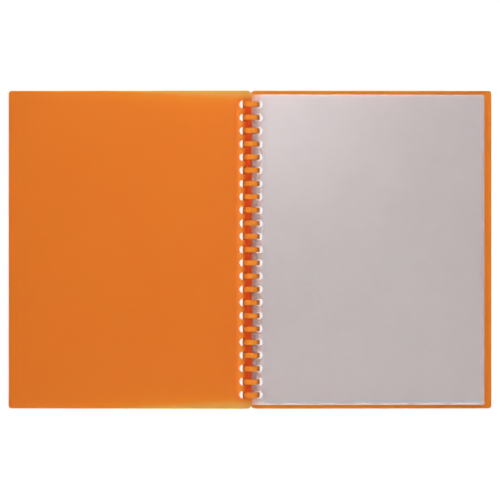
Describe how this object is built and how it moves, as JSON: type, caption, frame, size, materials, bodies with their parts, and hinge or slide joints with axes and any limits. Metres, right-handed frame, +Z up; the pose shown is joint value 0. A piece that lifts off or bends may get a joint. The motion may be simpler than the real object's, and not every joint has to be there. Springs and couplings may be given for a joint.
{
  "type": "clear pocket display book",
  "caption": "Open display book: orange translucent covers and clear welded pockets, punched along one edge and turning on a plastic comb binding.",
  "frame": {"origin": "on the table under the comb's centre line, at the middle of its length", "axes": "+Z up, +X towards the back cover's fore edge, +Y towards the pockets' open tops"},
  "size_m": [0.4713, 0.31, 0.0166],
  "materials": {
    "orange_cover": "fine matte grain, translucent orange polypropylene",
    "orange_comb": "smooth satin orange polypropylene",
    "clear_film": "clear glossy polypropylene film"
  },
  "bodies": {
    "comb": {"binding_comb": "orange_comb"},
    "front_cover": {"front_cover": "orange_cover"},
    "back_cover": {"back_cover": "orange_cover"},
    "pocket_01": {"pocket_01_back_film": "clear_film", "pocket_01_weld": "clear_film", "pocket_01_front_film": "clear_film"},
    "pocket_02": {"pocket_02_back_film": "clear_film", "pocket_02_weld": "clear_film", "pocket_02_front_film": "clear_film"},
    "pocket_03": {"pocket_03_back_film": "clear_film", "pocket_03_weld": "clear_film", "pocket_03_front_film": "clear_film"},
    "pocket_04": {"pocket_04_back_film": "clear_film", "pocket_04_weld": "clear_film", "pocket_04_front_film": "clear_film"},
    "pocket_05": {"pocket_05_back_film": "clear_film", "pocket_05_weld": "clear_film", "pocket_05_front_film": "clear_film"},
    "pocket_06": {"pocket_06_back_film": "clear_film", "pocket_06_weld": "clear_film", "pocket_06_front_film": "clear_film"},
    "pocket_07": {"pocket_07_back_film": "clear_film", "pocket_07_weld": "clear_film", "pocket_07_front_film": "clear_film"},
    "pocket_08": {"pocket_08_back_film": "clear_film", "pocket_08_weld": "clear_film", "pocket_08_front_film": "clear_film"},
    "pocket_09": {"pocket_09_back_film": "clear_film", "pocket_09_weld": "clear_film", "pocket_09_front_film": "clear_film"},
    "pocket_10": {"pocket_10_back_film": "clear_film", "pocket_10_weld": "clear_film", "pocket_10_front_film": "clear_film"}
  },
  "joints": [
    {"name": "front_cover_turn", "type": "hinge", "parent": "comb", "child": "front_cover", "pos_m": [0, 0, 0.00826], "axis": [0, 1, 0], "range_deg": [0, 182.79]},
    {"name": "back_cover_fold", "type": "hinge", "parent": "comb", "child": "back_cover", "pos_m": [0, 0, 0.00826], "axis": [0, 1, 0], "range_deg": [0, 25]},
    {"name": "pocket_01_turn", "type": "hinge", "parent": "comb", "child": "pocket_01", "pos_m": [0, 0, 0.00826], "axis": [0, -1, 0], "range_deg": [0, 182.79]},
    {"name": "pocket_02_turn", "type": "hinge", "parent": "comb", "child": "pocket_02", "pos_m": [0, 0, 0.00826], "axis": [0, -1, 0], "range_deg": [0, 182.79]},
    {"name": "pocket_03_turn", "type": "hinge", "parent": "comb", "child": "pocket_03", "pos_m": [0, 0, 0.00826], "axis": [0, -1, 0], "range_deg": [0, 182.79]},
    {"name": "pocket_04_turn", "type": "hinge", "parent": "comb", "child": "pocket_04", "pos_m": [0, 0, 0.00826], "axis": [0, -1, 0], "range_deg": [0, 182.79]},
    {"name": "pocket_05_turn", "type": "hinge", "parent": "comb", "child": "pocket_05", "pos_m": [0, 0, 0.00826], "axis": [0, -1, 0], "range_deg": [0, 182.79]},
    {"name": "pocket_06_turn", "type": "hinge", "parent": "comb", "child": "pocket_06", "pos_m": [0, 0, 0.00826], "axis": [0, -1, 0], "range_deg": [0, 182.79]},
    {"name": "pocket_07_turn", "type": "hinge", "parent": "comb", "child": "pocket_07", "pos_m": [0, 0, 0.00826], "axis": [0, -1, 0], "range_deg": [0, 182.79]},
    {"name": "pocket_08_turn", "type": "hinge", "parent": "comb", "child": "pocket_08", "pos_m": [0, 0, 0.00826], "axis": [0, -1, 0], "range_deg": [0, 182.79]},
    {"name": "pocket_09_turn", "type": "hinge", "parent": "comb", "child": "pocket_09", "pos_m": [0, 0, 0.00826], "axis": [0, -1, 0], "range_deg": [0, 182.79]},
    {"name": "pocket_10_turn", "type": "hinge", "parent": "comb", "child": "pocket_10", "pos_m": [0, 0, 0.00826], "axis": [0, -1, 0], "range_deg": [0, 182.79]}
  ],
  "couplings": [
    {"joint": "pocket_02_turn", "follows": "pocket_01_turn", "ratio": 1},
    {"joint": "pocket_03_turn", "follows": "pocket_01_turn", "ratio": 1},
    {"joint": "pocket_04_turn", "follows": "pocket_01_turn", "ratio": 1},
    {"joint": "pocket_05_turn", "follows": "pocket_01_turn", "ratio": 1},
    {"joint": "pocket_06_turn", "follows": "pocket_01_turn", "ratio": 1},
    {"joint": "pocket_07_turn", "follows": "pocket_01_turn", "ratio": 1},
    {"joint": "pocket_08_turn", "follows": "pocket_01_turn", "ratio": 1},
    {"joint": "pocket_09_turn", "follows": "pocket_01_turn", "ratio": 1},
    {"joint": "pocket_10_turn", "follows": "pocket_01_turn", "ratio": 1}
  ]
}
